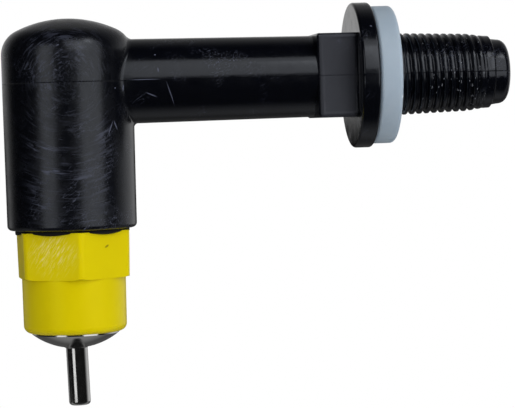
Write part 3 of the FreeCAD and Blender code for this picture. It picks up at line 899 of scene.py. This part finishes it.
dents = add_node(tree, "ShaderNodeMath", TIMES, {0: dents.outputs[0], 1: upper_flat.outputs[0]})
dirt = add_node(tree, "ShaderNodeMath", STRONGER, {
    0: dents.outputs[0], 1: mark_mask(tree, place, (-46.9, -6.7, -25.7), (-46.0, -6.6, -25.1),
    0.22)})
tone = add_node(tree, "ShaderNodeTexNoise", None, {
    "Vector": place, "Scale": per_metre(6.0), "Detail": 2.0})
toned = add_node(tree, "ShaderNodeMix", COLOURS, {
    "Factor": tone.outputs[0], "A": to_linear("#d6c200"), "B": to_linear("#dccb00")})
paled = add_node(tree, "ShaderNodeMix", COLOURS, {
    "Factor": scuffed.outputs[0], "A": toned.outputs["Result"], "B": to_linear("#eee08a")})
dirty = add_node(tree, "ShaderNodeMix", COLOURS, {
    "Factor": dirt.outputs[0], "A": paled.outputs["Result"], "B": to_linear("#8a7c10")})
gloss = add_node(tree, "ShaderNodeMath", TIMES_PLUS, {
    0: scuffed.outputs[0], 1: 0.2, 2: 0.36})
bump = add_node(tree, "ShaderNodeBump", None, {
    "Height": grain.outputs[0], "Strength": 0.25, "Distance": 0.03 * MM})
shader = add_node(tree, "ShaderNodeBsdfPrincipled", None, {
    "Base Color": dirty.outputs["Result"], "Roughness": gloss.outputs[0], "IOR": 1.5,
    "Specular IOR Level": 0.3, "Specular Tint": (1.0, 0.92, 0.15, 1.0), "Subsurface Weight": 0.15,
    "Subsurface Radius": (1.0, 0.7, 0.1), "Subsurface Scale": 0.8 * MM,
    "Normal": bump.outputs[0]})
finish_material(tree, shader)
print(yellow.name, len(tree.nodes), "nodes")

# %% [markdown]
# The washer is silicone rubber: pale, a little blue, and cloudy, because light scatters
# inside it. Tiny trapped bubbles show as light specks.

# %% Silicone rubber
silicone, tree = new_material("translucent_silicone_rubber")
place = add_node(tree, "ShaderNodeTexCoord").outputs["Object"]
cloud = add_node(tree, "ShaderNodeTexNoise", None, {
    "Vector": place, "Scale": per_metre(3.5), "Detail": 3.0})
bubble = add_node(tree, "ShaderNodeTexVoronoi", {"feature": "F1"}, {
    "Vector": place, "Scale": per_metre(3.2)})
bubble_mask = add_node(tree, "ShaderNodeMapRange", SMOOTH, {
    "Value": bubble.outputs["Distance"], "From Min": 0.09, "From Max": 0.05})
clouded = add_node(tree, "ShaderNodeMix", COLOURS, {
    "Factor": cloud.outputs[0], "A": to_linear("#97a7b6"), "B": to_linear("#a6b3bf")})
bubbled = add_node(tree, "ShaderNodeMix", COLOURS, {
    "Factor": bubble_mask.outputs[0], "A": clouded.outputs["Result"], "B": to_linear("#d8dfe6")})
bump = add_node(tree, "ShaderNodeBump", None, {
    "Height": cloud.outputs[0], "Strength": 0.2, "Distance": 0.05 * MM})
shader = add_node(tree, "ShaderNodeBsdfPrincipled", None, {
    "Base Color": bubbled.outputs["Result"], "Roughness": 0.5, "IOR": 1.41,
    "Subsurface Weight": 0.5, "Subsurface Radius": (1.0, 1.1, 1.2), "Subsurface Scale": 1.5 * MM,
    "Normal": bump.outputs[0]})
finish_material(tree, shader)
print(silicone.name, len(tree.nodes), "nodes")

# %% [markdown]
# The seals are black nitrile rubber, matt, with a faint dusty bloom.

# %% Nitrile rubber
rubber, tree = new_material("black_nitrile_rubber")
place = add_node(tree, "ShaderNodeTexCoord").outputs["Object"]
bloom = add_node(tree, "ShaderNodeTexNoise", None, {
    "Vector": place, "Scale": per_metre(0.9), "Detail": 4.0})
bloomed = add_node(tree, "ShaderNodeMix", COLOURS, {
    "Factor": bloom.outputs[0], "A": to_linear("#0a0a0c"), "B": to_linear("#17171a")})
bump = add_node(tree, "ShaderNodeBump", None, {
    "Height": bloom.outputs[0], "Strength": 0.3, "Distance": 0.02 * MM})
shader = add_node(tree, "ShaderNodeBsdfPrincipled", None, {
    "Base Color": bloomed.outputs["Result"], "Roughness": 0.75, "IOR": 1.52,
    "Specular IOR Level": 0.25,
    "Normal": bump.outputs[0]})
finish_material(tree, shader)
print(rubber.name, len(tree.nodes), "nodes")

# %% [markdown]
# The valve parts are turned from stainless bar and polished. Fine rings from the lathe
# are left round the axis, so the height pattern is a wave of rings about the nipple's
# axis and along it.

# %% Stainless steel
steel, tree = new_material("polished_stainless_steel")
place = add_node(tree, "ShaderNodeTexCoord").outputs["Object"]
centred = add_node(tree, "ShaderNodeMapping", None, {
    "Vector": place, "Location": (-NIPPLE_X * MM, 0, 0)})
lathe = add_node(tree, "ShaderNodeTexWave", {"wave_type": "RINGS", "rings_direction": "Z"}, {
    "Vector": centred.outputs[0], "Scale": per_metre(0.2) / 6.28, "Distortion": 1.0, "Detail": 2.0})
stain = add_node(tree, "ShaderNodeTexNoise", None, {
    "Vector": place, "Scale": per_metre(1.5), "Detail": 4.0})
gloss = add_node(tree, "ShaderNodeMapRange", None, {
    "Value": stain.outputs[0], "From Min": 0.3, "From Max": 0.7, "To Min": 0.08, "To Max": 0.18})
bump = add_node(tree, "ShaderNodeBump", None, {
    "Height": lathe.outputs["Fac"], "Strength": 0.1, "Distance": 0.01 * MM})
shader = add_node(tree, "ShaderNodeBsdfPrincipled", None, {
    "Base Color": to_linear("#c3c3c2"), "Metallic": 1.0, "Roughness": gloss.outputs[0],
    "Normal": bump.outputs[0]})
finish_material(tree, shader)
print(steel.name, len(tree.nodes), "nodes")

# %% [markdown]
# Each piece gets its finish. The pieces inside keep the solid model's own mesh, which
# is right already, and only get a better material.

# %% Giving out the finishes
finishes = {
    elbow_body: black, wall_washer: silicone, socket_seal: rubber, nipple_housing: yellow,
    valve_cup: steel, trigger_pin: steel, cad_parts["seat_ring"]: rubber,
    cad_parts["metering_seat"]: steel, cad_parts["metering_pin"]: steel,
}
for piece, material in finishes.items():
    piece.data.materials.clear()
    piece.data.materials.append(material)
print("finished pieces:", len(finishes))

# %% [markdown]
# The camera looks at the drinker from the front, a little from the socket's side and a
# little from above. Its place comes from the distance to the middle of the drinker and
# three angles, and a long lens keeps the pipe from looking bent.

# %% Camera
AIM = Vector((-22.05, 0, -19.94)) * MM
DISTANCE = 348.57 * MM
YAW, PITCH, ROLL = 0.1214, 0.0382, -0.0293
LENS_IN_WIDTHS = 2200 / 515

forward = Vector((math.sin(YAW) * math.cos(PITCH), math.cos(YAW) * math.cos(PITCH),
    -math.sin(PITCH)))
level = Vector((math.cos(YAW), -math.sin(YAW), 0))
above = level.cross(forward)
right = level * math.cos(ROLL) + above * math.sin(ROLL)
up = above * math.cos(ROLL) - level * math.sin(ROLL)
camera = bpy.data.objects.new("camera", bpy.data.cameras.new("camera"))
bpy.context.scene.collection.objects.link(camera)
camera.data.sensor_width = 36
camera.data.lens = 36 * LENS_IN_WIDTHS
camera.data.clip_start = 0.01
place_camera = Matrix((right, up, -forward)).transposed().to_4x4()
place_camera.translation = AIM - forward * DISTANCE
camera.matrix_world = place_camera
bpy.context.scene.camera = camera
print("lens", round(camera.data.lens, 1), "mm, camera at",
    [round(v, 3) for v in place_camera.translation])

# %% [markdown]
# A glossy black part shows the lamps as bands, so the lamps are soft panels whose edges
# fall where the bands end. Each panel is placed by its direction from the drinker and by
# how wide and tall it looks from there, and its power is worked out from the brightness
# that it should have, where 1 is a white wall.

# %% Lamps
def add_panel(name, across_deg, up_deg, wide_deg, tall_deg, brightness, distance=0.7,
    shows_in_gloss=True):
    direction = Vector((math.sin(math.radians(across_deg)) * math.cos(math.radians(up_deg)),
                        -math.cos(math.radians(across_deg)) * math.cos(math.radians(up_deg)),
                        math.sin(math.radians(up_deg))))
    lamp = bpy.data.lights.new(name, "AREA")
    lamp.shape = "RECTANGLE"
    lamp.size = 2 * distance * math.tan(math.radians(wide_deg / 2))
    lamp.size_y = 2 * distance * math.tan(math.radians(tall_deg / 2))
    lamp.energy = brightness * math.pi * lamp.size * lamp.size_y
    holder = bpy.data.objects.new(name, lamp)
    bpy.context.scene.collection.objects.link(holder)
    holder.rotation_euler = direction.to_track_quat("Z", "Y").to_euler()
    holder.location = AIM + direction * distance
    holder.visible_camera = False
    holder.visible_glossy = shows_in_gloss
    print(name, "power", round(lamp.energy, 2), "W")
    return holder


add_panel("top_panel", 10, 33, 26, 46, 1.2)
add_panel("left_panel", -42, 5, 26, 60, 1.25)
right_panel = add_panel("right_panel", 36, 12, 42, 70, 1.35)
add_panel("high_right_spot", 44, 50, 12, 14, 3.0)
add_panel("right_fill", 50, 20, 50, 50, 0.8, shows_in_gloss=False)

# %% [markdown]
# In a photographer's studio a small black flag would keep the right panel off the
# polished trigger. Light linking does that here: the lamp's receiver collection lists
# the trigger and is set to leave it out.

# %% Right panel kept off the trigger
flagged = bpy.data.collections.new("flagged_off_the_right_panel")
flagged.objects.link(trigger_pin)
right_panel.light_linking.receiver_collection = flagged
for link in flagged.collection_objects:
    link.light_linking.link_state = "EXCLUDE"

# %% [markdown]
# The room is white where the camera sees it. The drinker hangs in it, so the pale floor
# is a hand's width below. Gloss and metal see the white behind the drinker and a dim
# room in front.

# %% Room and floor
world = bpy.data.worlds.new("room")
bpy.context.scene.world = world
world.use_nodes = True
tree = world.node_tree
tree.nodes.clear()
ray = add_node(tree, "ShaderNodeLightPath")
way = add_node(tree, "ShaderNodeSeparateXYZ", None,
    {0: add_node(tree, "ShaderNodeTexCoord").outputs["Generated"]})
behind_right = add_node(tree, "ShaderNodeMath", TIMES_PLUS, {
    0: way.outputs["X"], 1: 0.4, 2: way.outputs["Y"]})
behind = add_node(tree, "ShaderNodeMapRange", SMOOTH, {
    "Value": behind_right.outputs[0], "From Min": 0.1, "From Max": 0.85})
over_table = add_node(tree, "ShaderNodeMapRange", SMOOTH, {
    "Value": way.outputs["Z"], "From Min": -0.01, "From Max": 0.02})
under_sky = add_node(tree, "ShaderNodeMapRange", SMOOTH, {
    "Value": way.outputs["Z"], "From Min": 0.08, "From Max": 0.6, "To Min": 1.0, "To Max": 0.3})
to_side = add_node(tree, "ShaderNodeMath", UNSIGNED, {0: way.outputs["X"]})
at_side = add_node(tree, "ShaderNodeMapRange", SMOOTH, {
    "Value": to_side.outputs[0], "From Min": 0.35, "From Max": 0.65})
wall_seen = add_node(tree, "ShaderNodeMath", STRONGER,
    {0: over_table.outputs[0], 1: at_side.outputs[0]})
lit = add_node(tree, "ShaderNodeMath", TIMES, {0: behind.outputs[0], 1: wall_seen.outputs[0]})
lit = add_node(tree, "ShaderNodeMath", TIMES, {0: lit.outputs[0], 1: under_sky.outputs[0]})
in_gloss = add_node(tree, "ShaderNodeMath", TIMES_PLUS, {0: lit.outputs[0], 1: 0.68, 2: 0.01})
dim = add_node(tree, "ShaderNodeMix", {"data_type": "FLOAT"}, {
    "Factor": ray.outputs["Is Glossy Ray"], "A": 0.32, "B": in_gloss.outputs[0]})
seen = add_node(tree, "ShaderNodeMath", STRONGER, {
    0: ray.outputs["Is Camera Ray"], 1: ray.outputs["Is Transmission Ray"]})
level_out = add_node(tree, "ShaderNodeMix", {"data_type": "FLOAT"}, {
    "Factor": seen.outputs[0], "A": dim.outputs[0], "B": 1.0})
backdrop = add_node(tree, "ShaderNodeBackground", None, {
    "Color": (1, 1, 1, 1), "Strength": level_out.outputs[0]})
add_node(tree, "ShaderNodeOutputWorld", None, {"Surface": backdrop.outputs[0]})

FLOOR_DROP = 0.08
floor_mesh = bpy.data.meshes.new("floor")
bm = bmesh.new()
bmesh.ops.create_circle(bm, cap_ends=True, segments=96, radius=0.5,
                        matrix=Matrix.Translation((AIM.x, 0, cad_box[0][2] - FLOOR_DROP)))
bm.to_mesh(floor_mesh)
bm.free()
floor = bpy.data.objects.new("floor", floor_mesh)
bpy.context.scene.collection.objects.link(floor)
pale_floor, tree = new_material("pale_floor")
ray = add_node(tree, "ShaderNodeLightPath")
where = add_node(tree, "ShaderNodeSeparateXYZ", None,
    {0: add_node(tree, "ShaderNodeTexCoord").outputs["Object"]})
near_edge = add_node(tree, "ShaderNodeMapRange", SMOOTH, {
    "Value": where.outputs["Y"], "From Min": -0.05, "From Max": 0.02, "To Min": 0.02,
    "To Max": 0.28})
sheet = add_node(tree, "ShaderNodeMapRange", SMOOTH, {
    "Value": where.outputs["Y"], "From Min": 0.03, "From Max": 0.10,
    "To Min": near_edge.outputs[0], "To Max": 0.09})
matt = add_node(tree, "ShaderNodeBsdfDiffuse", None, {"Color": (0.8, 0.8, 0.8, 1)})
glow = add_node(tree, "ShaderNodeEmission", None, {"Color": (1, 1, 1, 1)})
lift = add_node(tree, "ShaderNodeMath", TIMES, {0: ray.outputs["Is Camera Ray"], 1: 0.45})
tree.links.new(lift.outputs[0], glow.inputs["Strength"])
both = add_node(tree, "ShaderNodeAddShader", None, {0: matt.outputs[0], 1: glow.outputs[0]})
mirrored = add_node(tree, "ShaderNodeEmission", None,
    {"Color": (1, 1, 1, 1), "Strength": sheet.outputs[0]})
floor_look = add_node(tree, "ShaderNodeMixShader", None, {
    0: ray.outputs["Is Glossy Ray"], 1: both.outputs[0], 2: mirrored.outputs[0]})
finish_material(tree, floor_look)
floor.data.materials.append(pale_floor)
bpy.context.scene.view_settings.view_transform = "Standard"
print("floor at", round(cad_box[0][2] - FLOOR_DROP, 3))
